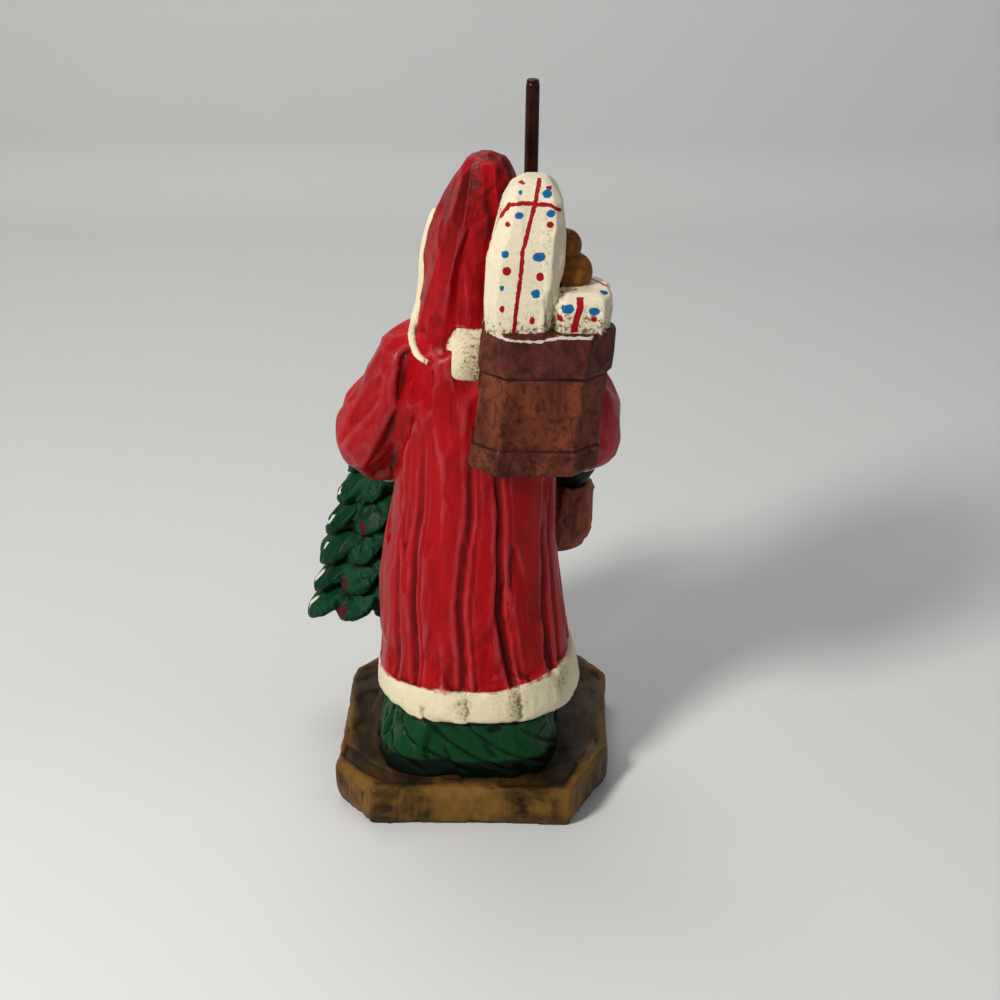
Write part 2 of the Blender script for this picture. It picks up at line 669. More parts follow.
robe = {
    "rows": [
        [baseHeight + 0.3, 1.5, 11, 42.6, 48.8],
        [27, 0.8, 11, 41.8, 48.5],
        [40, -1.2, 11.5, 38.5, 47],
        [60, -3, 12, 36, 44],
    ],
    "grooves": [
        [-16, -76, 0.8, 2.6],
        [8, -52, 0.9, 2.6],
        [30, -30, 0.9, 2.6],
        [50, -8, 0.8, 2.4],
        [72, 20, 0.7, 2.6],
        [-44, -98, 0.7, 2.6],
        [90, 66, 0.8, 3],
        [128, 112, 1, 3],
        [160, 150, 1, 3],
        [200, 210, 1, 3],
        [232, 248, 1, 3],
    ],
    "power": 3.6,
    "footBand": 8.5,
}


def robeGrooves(angle, height):
    rise = np.clip((height - 20) / 30, 0, 1)
    curved = 7 * np.sin(rise * math.pi)
    return foldDepth(robe["grooves"], rise, angle + curved) * smooth(baseHeight + 0.5, baseHeight + 4, height) * (height < 54)


arms = {
    "left": {
        "sleeve": [
            [0, 12, 12, 215, 16, 15],
            [0.25, 27.5, 12, 209, 15.5, 18],
            [0.5, 36, 10, 190, 15, 20],
            [0.7, 45.6, 2, 173.5, 16, 19.5],
            [0.86, 42, -11, 162, 17, 18.5],
            [1, 36.5, -25, 153.5, 15, 17],
        ],
        "cuff": [[0, 38, -22.5, 155.5, 16.6, 18.2], [1, 35.5, -29, 151.5, 15.4, 16.8]],
        "mitten": [[0, 37, -24, 155, 10, 9], [0.5, 30, -38, 152, 10, 8.5], [1, 19, -48, 150, 7, 6]],
    },
    "right": {
        "sleeve": [
            [0, -14, 12, 215, 16, 15],
            [0.25, -31, 12, 208, 17, 19],
            [0.5, -47, 9, 190, 17.5, 20],
            [0.72, -52.5, 0, 173, 17, 19],
            [0.88, -51, -10, 163, 15, 14],
            [1, -48, -18, 155, 12.5, 11],
        ],
        "cuff": [[0, -48.8, -15.5, 157.5, 14.2, 12.8], [1, -46.8, -21.5, 151, 13.4, 12]],
        "mitten": [[0, -50, -14, 151, 9, 8], [0.35, -46, -22, 143, 10.5, 9], [0.75, -35, -30, 143, 10, 9], [1, -25, -35, 144.5, 7, 7]],
    },
}

hood = {
    "rows": [
        [213.8, -0.9, 10, 26, 29.5],
        [222, -1, 9, 25, 29.6],
        [230, -1.2, 8, 25, 29.5],
        [246, -1.7, 7.5, 24.3, 29.2],
        [263, -2.6, 9, 23, 27.8],
        [277, -3.8, 12, 20.5, 23.8],
        [289, -5.4, 15.5, 16.6, 18.6],
        [299, -6.6, 19, 12, 13],
        [306, -7, 21.5, 7.5, 8.5],
        [308.5, -7, 22.5, 3, 3.4],
    ],
    # height and degrees of the big groove, and of the line right of it
    "grooveAt": [(213, -30.6), (230, -30.7), (243, -26.4), (263, -23.3), (277.6, -14.1), (290, -8)],
    "lineAt": [(213, -18), (230, -19.2), (236, -17.6), (258, -15.6), (276, -12.1), (290, -7)],
    "ledge": 231.9,
    "folds": [
        [-88, -70, 1.1, 5],
        [-60, -42, 0.9, 4],
        [20, 34, 1.4, 6],
        [60, 60, 1.2, 7],
        [90, 80, 1.2, 7],
        [150, 140, 0.9, 8],
        [210, 220, 0.9, 8],
    ],
}


# degrees around the hood's middle
def hoodAngle(places):
    x, y = between(hood["rows"], places[:, 2])[:, :2].T
    return np.degrees(np.arctan2(x - places[:, 0], places[:, 1] - y))


# left of the groove the hood is a rounded roll; right of it the surface steps down into a hollow that
# ends on a ledge over the collar, and the strip between groove and line hangs down on the coat
def hoodCarve(angle, height):
    angle = turn(angle, 0)
    groove = np.interp(height, *np.transpose(hood["grooveAt"]))
    line = np.interp(height, *np.transpose(hood["lineAt"]))
    fade = 1 - smooth(266, 286, height)
    past = turn(angle, groove)
    wall = np.clip((angle - groove) / np.maximum(line - groove, 2), 0, 1)
    low = 1 - smooth(215, 227, height)
    carved = np.interp(past, [-26, -12, -3, 0], [0, 0.3, 0.9, 0.5]) - (3.4 - 2.2 * low) * smooth(0, 1, wall) * (1 - 0.35 * smooth(80, 130, past))
    carved = carved * fade * (1 - smooth(118, 140, past))
    carved = carved - 0.7 * np.clip(1 - np.abs(angle - line - 0.5) / 1.8, 0, 1) * (1 - smooth(256, 270, height)) * (1 - low)
    rightOf = smooth(-1.4, -0.2, angle - line) * (1 - smooth(104, 112, angle))
    carved = carved - 3.6 * rightOf * (1 - smooth(hood["ledge"] - 0.7, hood["ledge"] + 0.4, height))
    carved = carved - 0.45 * rightOf * np.exp(-(((height - hood["ledge"] - 2.6) / 0.6) ** 2))
    hanging = smooth(-66, -54, angle) * (1 - smooth(line - 1.4, line - 0.2, angle)) * (1 - smooth(213.5, 225, height))
    rise = np.clip((height - 215) / 75, 0, 1)
    return carved + 3.1 * hanging - fade * foldDepth(hood["folds"], rise, angle)


# the hanging part ends higher towards his left shoulder
def hoodLift(angle, height):
    return 3.4 * smooth(-30, -52, turn(angle, 0)) * (1 - smooth(213.8, 226, height)) * (turn(angle, 0) < 0)


hoodFlats = [
    ([(9.1, 28.2, 282), (17.4, 23.7, 252.5), (19.5, 8, 264)], 0.25, 22),
    ([(9.1, 28.2, 282), (17.4, 23.7, 252.5), (8.6, 33.2, 263)], 0.2, 20),
    ([(17.4, 23.7, 252.5), (20.6, 21.1, 241), (12, 32.6, 244)], 0.2, 16),
    ([(20.6, 21.1, 241), (17.4, 23.7, 252.5), (22.8, 8, 240)], 0.25, 18),
    ([(5.2, 22.3, 298.7), (9.1, 28.2, 282), (12.5, 8, 287)], 0.3, 16),
]

# fur along the hood's edge, over his shoulders: rows of a limb for his left, mirrored for his right
hoodFur = [
    [0, 15.6, -3, 274, 2.8, 3.2],
    [0.17, 19.4, 1, 262, 3, 3.2],
    [0.35, 21.3, 4, 247, 3.1, 3.4],
    [0.5, 22.3, 6, 236, 3.2, 3.4],
    [0.6, 23.8, 8, 229, 3.1, 3.1],
    [0.7, 25.7, 14.5, 226.6, 2.1, 2.2],
    [0.79, 26.3, 20.8, 224.9, 1.7, 1.9],
    [0.87, 25.2, 27, 221.1, 1.5, 1.6],
    [0.94, 22.9, 31.9, 218.8, 1.3, 1.4],
    [1, 20.2, 35, 217.5, 0.8, 0.9],
]


collar = {
    "rows": [[208, -3, 10, 25, 29], [211.5, -3, 10, 28.4, 32], [228, -3, 9.5, 26.6, 30.9], [232.3, -3, 9, 23, 27]],
    "tuckedFrom": -150,
    "tuckedTo": -20,
}


def collarCarve(angle, height):
    inside = smooth(0, 3, turn(angle, collar["tuckedFrom"])) * (1 - smooth(-1.5, 0.5, turn(angle, collar["tuckedTo"])))
    return -4.5 * inside + 0 * height


furEdge = {"x": -1.5, "z": 247, "halfWidth": 20, "halfHeight": 31, "lowWiden": 0.2, "frontY": -13, "slant": 0.36, "tube": 4.4}


# fur edge: a round tube along an upright oval that widens below and slants back as it goes down
def furEdgeForm(sides=140, tubeSides=28):
    e = furEdge
    around = np.linspace(0, 2 * math.pi, sides, endpoint=False)
    widen = 1 + e["lowWiden"] * np.maximum(0, -np.cos(around))
    z = e["z"] + np.cos(around) * e["halfHeight"]
    middle = np.stack([e["x"] + np.sin(around) * e["halfWidth"] * widen, e["frontY"] + (275 - z) * e["slant"], z], 1)
    out = np.stack([np.sin(around), 0 * around, np.cos(around)], 1)
    angle = np.linspace(0, 2 * math.pi, tubeSides, endpoint=False)[None, :, None]
    points = middle[:, None] + e["tube"] * (np.cos(angle) * out[:, None] + np.sin(angle) * np.array([0, 1.0, 0]))

    def away(p):
        return np.sqrt(((p[:, None] - middle[None]) ** 2).sum(-1).min(1)) - e["tube"]

    return {"points": points, "away": away, "ring": True, "grain": np.array([0, 0, 1.0])}


head = {"x": -1, "y": 6, "turn": 8}
beard = {
    "rows": [[186, 0, -27, 3, 3.5], [193, 0, -26, 9, 8], [207, 0, -23, 16, 12], [224, 0, -19, 20, 15], [240, 0, -15, 19.5, 14], [252, 0, -9, 17, 11]],
    "locks": 11,
    "lockDepth": 1.6,
}


# locks: waves of depth x (1 - |cos(half the angle x number of locks)|), swaying with height
def beardCarve(angle, height):
    sway = 9 * np.sin(height / 9.0)
    wave = 1 - np.abs(np.cos(np.radians((angle + sway) * beard["locks"] / 2)))
    fine = 1 - np.abs(np.cos(np.radians((angle - sway) * beard["locks"] * 1.5)))
    return -(beard["lockDepth"] * wave + 0.5 * fine) * smooth(186, 200, height)


def turnedHead(form):
    a = math.radians(head["turn"])
    matrix = np.array([[math.cos(a), -math.sin(a), 0], [math.sin(a), math.cos(a), 0], [0, 0, 1]])
    centre = np.array([0, head["y"], 0])
    shift = np.array([head["x"], head["y"], 0])
    inner = form["away"]
    form["points"] = (form["points"] - centre) @ matrix.T + shift
    form["away"] = lambda p: inner((p - shift) @ matrix + centre)
    return form


# skull: an ellipsoid with hollows for the eyes, exp(-(degrees off / 13) squared - (height off / 2.6) squared)
def skullForm():
    levels = np.linspace(232.4, 275.6, 15)
    size = np.sqrt(1 - ((levels - 254) / 22) ** 2)
    rows = [[z, 0, -10, 16 * s, 12 * s] for z, s in zip(levels, size)]

    def eyes(angle, height):
        off = np.abs(np.abs(turn(angle, 180)) - 30)
        return -1.7 * np.exp(-((off / 13) ** 2) - ((height - face["eyeHeight"]) / 2.7) ** 2)

    return uprightForm(rows, carve=eyes, sides=120, step=0.6)


face = {
    "eyeHeight": 257.4,
    "eyeApart": 6.4,
    "eyeWhite": (2.7, 1.3),
    "iris": 1.15,
    "lipHeight": 239.6,
    "irisColour": (0.03, 0.07, 0.1),
    "lipColour": (0.3, 0.045, 0.03),
}


# the face is turned with the head: back to how it was made, facing straight ahead
def faceOn(p):
    a = math.radians(head["turn"])
    matrix = np.array([[math.cos(a), -math.sin(a), 0], [math.sin(a), math.cos(a), 0], [0, 0, 1]])
    return (p - [head["x"], head["y"], 0]) @ matrix + [0, head["y"], 0]


def bodyForms():
    groups = {"red": [], "cream": [], "green": [], "black": []}
    robeForm = uprightForm(robe["rows"], robe["power"], sides=360, step=0.8, grain=(0.7, 0, 0.5))
    groups["green"].append(robeForm)
    for side, sign in (("left", 1), ("right", -1)):
        groups["red"].append(limbForm(arms[side]["sleeve"]))
        groups["cream"].append(limbForm(arms[side]["cuff"], levels=12))
        groups["black"].append(limbForm(arms[side]["mitten"], levels=40))
        boot = [
            [0, sign * 16.15, -24, baseHeight + 9.3, 12.15, 8.6],
            [0.55, sign * 19, -46, baseHeight + 8.6, 13.5, 8],
            [0.85, sign * 20, -56, baseHeight + 7, 11.6, 6.4],
            [1, sign * 20.2, -60, baseHeight + 5.6, 6.75, 3.6],
        ]
        groups["black"].append(limbForm(boot, 2.6, levels=40))
    return groups


def headForms():
    groups = {"red": [], "cream": [], "skin": []}
    for sign in (1, -1):
        side = [[share, -1.5 + sign * (x + 1.5), *rest] for share, x, *rest in hoodFur]
        groups["cream"].append(limbForm(side, 2, 40, 90))
        inner = [[share, x - sign * 0.5, y - 6.5, z, wide, thick] for share, x, y, z, wide, thick in side[:5]]
        groups["cream"].append(limbForm([[row[0] / 0.6, *row[1:]] for row in inner], 2, 40, 60))
        groups["skin"].append(turnedHead(lumpForm((sign * 7.8, -19.4, 250.5), (4.8, 3.4, 4.4))))
        groups["skin"].append(turnedHead(lumpForm((sign * face["eyeApart"], -17.9, face["eyeHeight"]), (2.9, 2.7, 2.2))))
        groups["skin"].append(turnedHead(lumpForm((sign * 2.3, -24.4, 248.8), (1.8, 2, 1.6))))
        brow = [[0, sign * 2.6, -21.4, 263.6, 1.4, 1.3], [0.5, sign * 6.8, -21, 265, 2, 1.7], [1, sign * 11.6, -17.4, 261.6, 0.9, 0.9]]
        groups["cream"].append(turnedHead(browForm(brow)))
        tash = [[0, sign * 0.8, -27, 246, 2, 2.2], [0.45, sign * 6.6, -27.4, 243.6, 3.4, 3.3], [0.8, sign * 12, -24, 240, 2.4, 2.4], [1, sign * 15.5, -20, 239, 0.8, 0.8]]
        groups["cream"].append(turnedHead(browForm(tash)))
    groups["skin"].append(turnedHead(skullForm()))
    nose = [[0, 0, -20.4, 260.5, 1.7, 1.4], [0.5, 0, -23.2, 254.5, 2, 1.9], [0.85, 0, -25.4, 250, 2.7, 2.5], [1, 0, -25, 247.4, 1.6, 1.5]]
    groups["skin"].append(turnedHead(limbForm(nose, 2, 40, 40)))
    groups["skin"].append(turnedHead(lumpForm((0, -28.6, face["lipHeight"]), (3.3, 1.3, 1.1))))
    groups["cream"].append(uprightForm(collar["rows"], 2.2, collarCarve, sides=260, step=0.7))
    groups["cream"].append(furEdgeForm())
    groups["cream"].append(turnedHead(uprightForm(beard["rows"], 2, beardCarve, sides=260, step=0.6)))
    return groups


# brow or moustache: a limb whose section has combed grooves, 0.35 x |sin(5 x angle)|
def browForm(rows):
    return limbForm(rows, 2, 60, 50, lambda angle, share: -0.35 * np.abs(np.sin(np.radians(angle * 5 + share * 60))))


# how far each point is inside each paint, from the forms that carry it: half of the difference of distances
def paintMargins(mesh, nearest):
    for name in ("cream", "green", "black", "skin"):
        if name in nearest:
            others = np.min([value for key, value in nearest.items() if key != name], 0)
            margin = (others - nearest[name]) / 2
        else:
            margin = np.full(len(mesh.vertices), -5.0)
        attribute(mesh, name, np.clip(margin, -5, 5))


def nearestOf(groups, places):
    return {name: np.min([form["away"](places) for form in group], 0) for name, group in groups.items()}


stains = [(2.6, 56, 4, 9), (-21.9, 57, 4, 9), (-43.6, 61, 4, 6), (-9, 217, 14, 14)]


def grimeAt(places):
    grime = np.full(len(places), 0.12)
    for sx, sz, wide, tall in stains:
        grime += 0.75 * np.exp(-(((places[:, 0] - sx) / wide) ** 2) - ((places[:, 2] - sz) / tall) ** 2) * (places[:, 1] > 0)
    return grime


# copy of a finished carving, grown by the gap, for cutting what is glued against it
def seatOf(mesh):
    seat = mesh.copy()
    setPlaces(seat, placesOf(mesh) + normalsOf(mesh) * 0.35)
    return seat


coatForm = uprightForm(coat["rows"], 2.15, coatCarve, coatLift, 460, 0.8)
hoodForm = uprightForm(hood["rows"], 2.1, hoodCarve, hoodLift, 420, 0.6)


def makeBody(material):
    groups = bodyForms()
    everything = [coatForm] + [form for group in groups.values() for form in group]
    mesh = fuse("santaBody", everything, 1.1)
    places = placesOf(mesh)
    grains = unit(np.stack([form["grain"] for form in everything])[np.argmin([form["away"](places) for form in everything], 0)])
    x, y = between(coat["rows"], places[:, 2])[:, :2].T
    angle = np.degrees(np.arctan2(x - places[:, 0], places[:, 1] - y))
    share = 1 - 0.75 * smooth(-1, 2, furTopAt(angle) - places[:, 2]) * smooth(45, 47, places[:, 2])
    whittle(mesh, grains, {"width": 11, "length": 60, "depth": 0.06, "tilt": 0.05, "limit": 1.1, "softness": 5, "seed": 5, "evenOut": 14}, share)
    whittle(mesh, grains, {"width": 5, "length": 20, "depth": 0.015, "tilt": 0.022, "limit": 0.25, "softness": 2.5, "seed": 8, "evenOut": 2})
    cut = cutGrooves(mesh, coat["rows"], coatForm["away"], coatFolds)
    cut = cut + cutGrooves(mesh, robe["rows"], groups["green"][0]["away"], robeGrooves)
    attribute(mesh, "hollow", hollowness(mesh, 12) + 0.08 * cut)
    places = placesOf(mesh)
    nearest = nearestOf(groups, places)
    inCoat = coatForm["away"](places)
    x, y = between(coat["rows"], places[:, 2])[:, :2].T
    angle = np.degrees(np.arctan2(x - places[:, 0], places[:, 1] - y))
    hem = furTopAt(angle) - places[:, 2]
    band = np.where(places[:, 2] < 190, (coat["edgeHalfWidth"] - np.abs(turn(angle, 180))) * 0.7, -5)
    trim = np.maximum(hem, band)
    nearest["cream"] = np.minimum(nearest["cream"], np.maximum(inCoat, -trim))
    nearest["red"] = np.minimum(nearest["red"], np.maximum(inCoat, trim))
    paintMargins(mesh, nearest)
    attribute(mesh, "foot", baseHeight + robe["footBand"] - places[:, 2])
    stain = sum(np.exp(-(((places - np.array(at)) / size) ** 2).sum(1)) for at, size in coat["darkPlaces"])
    attribute(mesh, "shade", 0.05 + 0.5 * stain)
    attribute(mesh, "grime", grimeAt(places))
    seat = seatOf(mesh)
    finishPiece("santaBody", mesh, "santa_figure", material)
    return seat


def makeHead(material):
    groups = headForms()
    everything = [hoodForm] + [form for group in groups.values() for form in group]
    mesh = fuse("santaHead", everything, 0.64)
    places = placesOf(mesh)
    grains = unit(np.stack([form["grain"] for form in everything])[np.argmin([form["away"](places) for form in everything], 0)])
    groups["red"].append(hoodForm)
    nearest = nearestOf(groups, places)
    angle = hoodAngle(places)
    groove, line = (np.interp(places[:, 2], *np.transpose(hood[name])) for name in ("grooveAt", "lineAt"))
    beside = smooth(-6, -2, angle - groove) * (1 - smooth(1, 5, angle - line)) * (1 - smooth(272, 284, places[:, 2]))
    share = np.where(nearest["red"] < 0.3, 0.7 - 0.6 * beside, 0.25)
    whittle(mesh, grains, {"width": 8, "length": 44, "depth": 0.05, "tilt": 0.045, "limit": 0.8, "softness": 3.5, "seed": 6, "evenOut": 12}, share)
    whittle(mesh, grains, {"width": 3.4, "length": 13, "depth": 0.012, "tilt": 0.025, "limit": 0.2, "softness": 1.5, "seed": 9, "evenOut": 2}, share + 0.2)
    flats(mesh, hoodFlats, (-4, 0, 260))
    attribute(mesh, "hollow", hollowness(mesh, 12))
    places = placesOf(mesh)
    paintMargins(mesh, nearestOf(groups, places))
    attribute(mesh, "foot", np.full(len(places), -50.0))
    attribute(mesh, "shade", 0.45 + 0.4 * smooth(262, 300, places[:, 2]) * smooth(5, 26, places[:, 1]))
    attribute(mesh, "grime", grimeAt(places))
    p = faceOn(places)
    front = (p[:, 1] < -15) & (p[:, 2] > 232)
    out = np.stack([np.abs(p[:, 0]), p[:, 2]], 1)
    marks = {
        "eyeWhite": [(face["eyeApart"], face["eyeHeight"], *face["eyeWhite"])],
        "iris": [(face["eyeApart"], face["eyeHeight"], face["iris"], face["iris"] + 0.1)],
        "lip": [(0, face["lipHeight"], 3.3, 1.1)],
    }
    for name, dots in marks.items():
        attribute(mesh, name, np.where(front, ellipseMargin(out, dots, 0, 1), -3))
    rosy = np.exp(-(((out[:, 0] - 8.2) / 4) ** 2) - ((p[:, 2] - 250) / 3.4) ** 2) + np.exp(-((out[:, 0] / 2.4) ** 2) - ((p[:, 2] - 249.5) / 2.2) ** 2)
    attribute(mesh, "blush", rosy * front)
    seat = seatOf(mesh)
    finishPiece("santaHead", mesh, "santa_figure", material)
    return seat


figurePaintMaterial = figureMaterial()
seats = [makeBody(figurePaintMaterial), makeHead(figurePaintMaterial)]
print("figure done")


# base

# block with straight sides: the outline seen from above, pushed out by the profile at each height
# along the line from the middle: point x (1 + out / distance)
def blockForm(corners, profile, middle=(0, 0), hollow=0.0, step=0.7, perSide=40):
    corners, middle, profile = np.array(corners, float), np.array(middle, float), np.array(profile, float)
    following = np.roll(corners, -1, 0)
    share = np.linspace(0, 1, perSide, endpoint=False)
    length = np.linalg.norm(following - corners, axis=1)
    outline = corners[:, None] + (following - corners)[:, None] * share[None, :, None]
    bend = hollow * np.sin(share * math.pi)[None] * np.minimum(1, length / 60)[:, None]
    rel = (outline - middle).reshape(-1, 2)
    reach = np.linalg.norm(rel, axis=1)
    rel = rel * (1 - bend.ravel() / reach)[:, None]
    reach = np.linalg.norm(rel, axis=1)
    angles = np.degrees(np.arctan2(rel[:, 1], rel[:, 0]))
    low, high = profile[0, 0], profile[-1, 0]
    height = np.linspace(low, high, int((high - low) / step) + 2)
    out = np.interp(height, profile[:, 0], profile[:, 1])
    plan = middle + rel[None] * (1 + out[:, None] / reach[None])[..., None]
    points = np.concatenate([plan, np.broadcast_to(height[:, None, None], (*plan.shape[:2], 1))], -1)
    order = np.argsort(angles)

    def beyond(p):
        here = p[:, :2] - middle
        return np.hypot(*here.T) - np.interp(
            np.degrees(np.arctan2(here[:, 1], here[:, 0])), angles[order], reach[order], period=360
        )

    def away(p):
        out = np.interp(p[:, 2], profile[:, 0], profile[:, 1])
        return np.maximum(beyond(p) - out, np.maximum(low - p[:, 2], p[:, 2] - high))

    return {"points": points, "away": away, "beyond": beyond, "grain": np.array([0, 0, 1.0])}


base = {
    "corners": [(45.5, 71), (63.5, 47), (61, -47), (45, -69), (-46, -70), (-57, -64), (-68, -47), (-66, 31), (-47, 72)],
    "profile": [(0, -3.4), (1.5, -1.6), (4, -0.6), (9, 0), (15.5, -0.2), (17.8, -0.8), (baseHeight, -2.2)],
    "hollow": 0.9,
    "dish": 1.3,
    "dark": (0.011, 0.005, 0.002),
    "brown": (0.08, 0.038, 0.009),
    "ochre": (0.17, 0.085, 0.014),
}


def baseMaterial():
    n = Nodes("stained wood")
    grain = n.noise((55, 9, 160), 5, 0.6, 0.6)
    knife = n.noise((150, 150, 14), 3, 0.6, 0.3, 4)
    blotch = n.noise((34, 34, 40), 4, 0.62, 0.4, 9)
    fine = n.noise((700, 700, 240), 2, 0.6)
    edge, side, hollow = n.value("edge"), n.value("side"), n.value("hollow")
    topWear = n.ranged(n.sum("MULTIPLY_ADD", blotch, 1.5, n.sum("MULTIPLY_ADD", edge, 0.5, -0.92)), 0.0, 0.6)
    sideWear = n.ranged(n.sum("MULTIPLY_ADD", knife, 0.8, n.sum("MULTIPLY_ADD", blotch, 1.5, -0.93)), 0, 0.48)
    wear = n.sum("MAXIMUM", topWear, n.sum("MULTIPLY", side, sideWear))
    colour = n.mix(n.ranged(grain, 0.35, 0.7), base["dark"], base["brown"])
    colour = n.mix(wear, colour, base["ochre"])
    colour = n.mix(n.ranged(grain, 0.5, 0.75, 0, 0.35), colour, base["brown"])
    colour = n.mix(n.ranged(hollow, 0.02, 0.3, 0, 0.8), colour, base["dark"])
    colour = n.mix(n.ranged(knife, 0.62, 0.74, 0, 0.6), colour, base["dark"])
    n.bump((grain, 0.35, 0.5), (fine, 0.3, 0.2), (knife, 0.3, 0.5))
    return n.finish(colour, n.ranged(blotch, 0.3, 0.7, 0.36, 0.6))


def makeBase():
    form = blockForm(base["corners"], base["profile"], (0, 0), base["hollow"])
    mesh = fuse("base", [form], 0.95)
    places = placesOf(mesh)
    top = smooth(baseHeight - 1.2, baseHeight - 0.3, places[:, 2])
    inset = -form["beyond"](places)
    robeAway = np.hypot((places[:, 0] - 1.5) / 46, (places[:, 1] - 8) / 54)
    dish = base["dish"] * smooth(1, 7, inset) * smooth(1.0, 1.14, robeAway) * top
    wave = 0.35 * np.sin(places[:, 0] * 0.31) * np.sin(places[:, 1] * 0.27 + 1) * smooth(1.02, 1.1, robeAway) * top
    places[:, 2] -= np.maximum(dish + wave, 0) * (places[:, 1] > -50 + 0 * dish)
    setPlaces(mesh, places)
    around = np.stack([-places[:, 1], places[:, 0], 0 * inset], 1)
    grain = np.where(((places[:, 2] > baseHeight - 2.4) & (inset > 1))[:, None], unit(around), np.array([0, 0, 1.0]))
    whittle(mesh, grain, {"width": 9, "length": 26, "depth": 0.1, "tilt": 0.055, "limit": 0.8, "softness": 5, "seed": 3})
    places = placesOf(mesh)
    places[:, 2] = np.where(places[:, 2] > baseHeight, baseHeight, np.maximum(places[:, 2], 0))
    flat = placesOf(mesh)[:, 2] < 0.9
    places[:, 2] = np.where(flat & (normalsOf(mesh)[:, 2] < -0.6), 0, places[:, 2])
    setPlaces(mesh, places)
    attribute(mesh, "hollow", hollowness(mesh, 10))
    attribute(mesh, "edge", np.exp(-(((-form["beyond"](places) - 1.5) / 5) ** 2)) * smooth(9, 17, places[:, 2]))
    attribute(mesh, "side", 1 - smooth(0, 2.5, -form["beyond"](places)))
    return finishPiece("base", mesh, "base", baseMaterial())


makeBase()
print("base done")


# pack of presents

pack = {
    "lean": 0.1,
    "leanFrom": 211,
    "section": [(-3, 42), (-3, 64), (-14, 75), (-48, 75), (-59, 64.5), (-59, 57), (-50, 44), (-42, 38)],
    "middle": (-31, 58),
    "bands": [
        (179, -1.6), (181, 0), (190, 0), (191, -1.4), (222.5, -1.1), (223.6, -1.6), (224.8, 0.3), (241.5, 0.3), (243, -0.8),
    ],
    "tallPresent": [
        [238, -18, 56, 14, 15],
        [252, -17.6, 56, 15.2, 15],
        [272, -17.6, 55.5, 16.3, 14.2],
        [284, -18.2, 54, 14.9, 13.4],
        [296.5, -18, 51, 12.3, 11.6],
        [302, -17.8, 48, 9.2, 9],
        [304.5, -18.2, 46, 5, 5.4],
    ],
    "smallPresent": [[238, -43.5, 56, 12.2, 14], [252, -43.5, 56, 13, 14], [257.2, -43.5, 55, 12.2, 13], [259.5, -43.2, 54, 10, 10.6]],
    "corners": [(0.99, -0.5), (0.99, 0.52), (0.64, 0.99), (-0.7, 0.99), (-0.99, 0.6), (-0.99, -0.5), (-0.6, -0.98), (0.6, -0.98)],
    "bear": [
        ((-33.6, 50, 275), (7.2, 7.6, 7.4)),
        ((-38, 50.5, 263.5), (8.8, 8.6, 8.8)),
        ((-34.6, 55.4, 269.2), (4.6, 3.4, 3.4)),
        ((-31, 54, 280.6), (2.6, 2.2, 2.4)),
    ],
    # painted ribbons: corners in x and z, half width
    "ribbons": [
        ([(-29.2, 306), (-29.2, 304.5), (-27.4, 297), (-25.4, 289.9), (-23.7, 283.1), (-22.5, 278.7), (-21.8, 269.1), (-20.2, 255.8), (-18.7, 241)], 0.95),
        ([(-10, 287), (-12, 290), (-17, 296.2), (-20.8, 297.2), (-27, 297), (-34.1, 296.6), (-37.8, 294.2)], 0.8),
        ([(-44.9, 261), (-46.8, 258.7), (-46.7, 254.2), (-45.1, 248.3), (-44, 241.5)], 1.5),
    ],
    # painted dots: x, z, half width, half height
    "blueDots": [
        (-21.2, 300.7, 1, 0.9), (-32.4, 300.5, 2.1, 1.6), (-20.8, 292.6, 1.9, 1.4), (-34, 293.4, 1.9, 1.5), (-15.1, 277.3, 1.8, 1.6),
        (-29.2, 276.2, 2.8, 2), (-13.9, 263, 1.2, 1.2), (-28.1, 260.6, 1.9, 1.9), (-41.7, 253.7, 2.8, 1.9), (-52.7, 252.6, 2.3, 1.8),
    ],
    "redDots": [
        (-21.6, 303.8, 1.6, 0.5), (-33.3, 302.3, 1.5, 0.7), (-16.2, 288.8, 1.2, 1.1), (-33.7, 289.1, 1.5, 1.3), (-15.9, 270.3, 1.8, 2),
        (-29.7, 267.9, 1.7, 2), (-13.9, 253.9, 1.1, 1.7), (-26.6, 248.9, 1.2, 1.7), (-38.4, 249.3, 1.3, 1.5), (-52.7, 249.2, 1.4, 1.3),
    ],
    # on top of the small present, in x and y
    "topRibbon": ([(-50, 45), (-52.4, 46.9), (-56.2, 51.3), (-60, 58.2)], 0.7),
    "topBlue": [(-56.9, 63, 1.9, 1.6)],
    "topRed": [(-54.6, 68.2, 1.3, 0.6), (-39.2, 62, 1.3, 0.7), (-49, 55, 1.2, 0.9)],
    # on the sides that the photo doesn't show, the same marks in y and z
    "sideRibbonY": 56,
    "sideDots": [(49, 292), (62, 284), (49, 274), (63, 265), (50, 254), (62, 247)],
    "rim": [(-10.2, 242.3), (-15.3, 241.8), (-20.3, 241.4), (-25.8, 241), (-30.4, 241), (-33.8, 242.1), (-38.4, 242.7), (-52, 242.8)],
    "cream": (0.66, 0.58, 0.42),
    "creamDirt": (0.13, 0.1, 0.035),
    "ribbonRed": (0.28, 0.002, 0.005),
    "blue": (0.002, 0.1, 0.25),
    "wood": (0.06, 0.01, 0.005),
    "woodDark": (0.012, 0.003, 0.002),
    "woodLight": (0.16, 0.036, 0.017),
    "bearBrown": (0.15, 0.045, 0.005),
}


# shear: x less (height - 211) x lean
def leaning(form):
    inner = form["away"]
    form["points"][..., 0] -= (form["points"][..., 2] - pack["leanFrom"]) * pack["lean"]
    form["away"] = lambda p: inner(p + np.outer((p[:, 2] - pack["leanFrom"]) * pack["lean"], [1, 0, 0]))
    return form


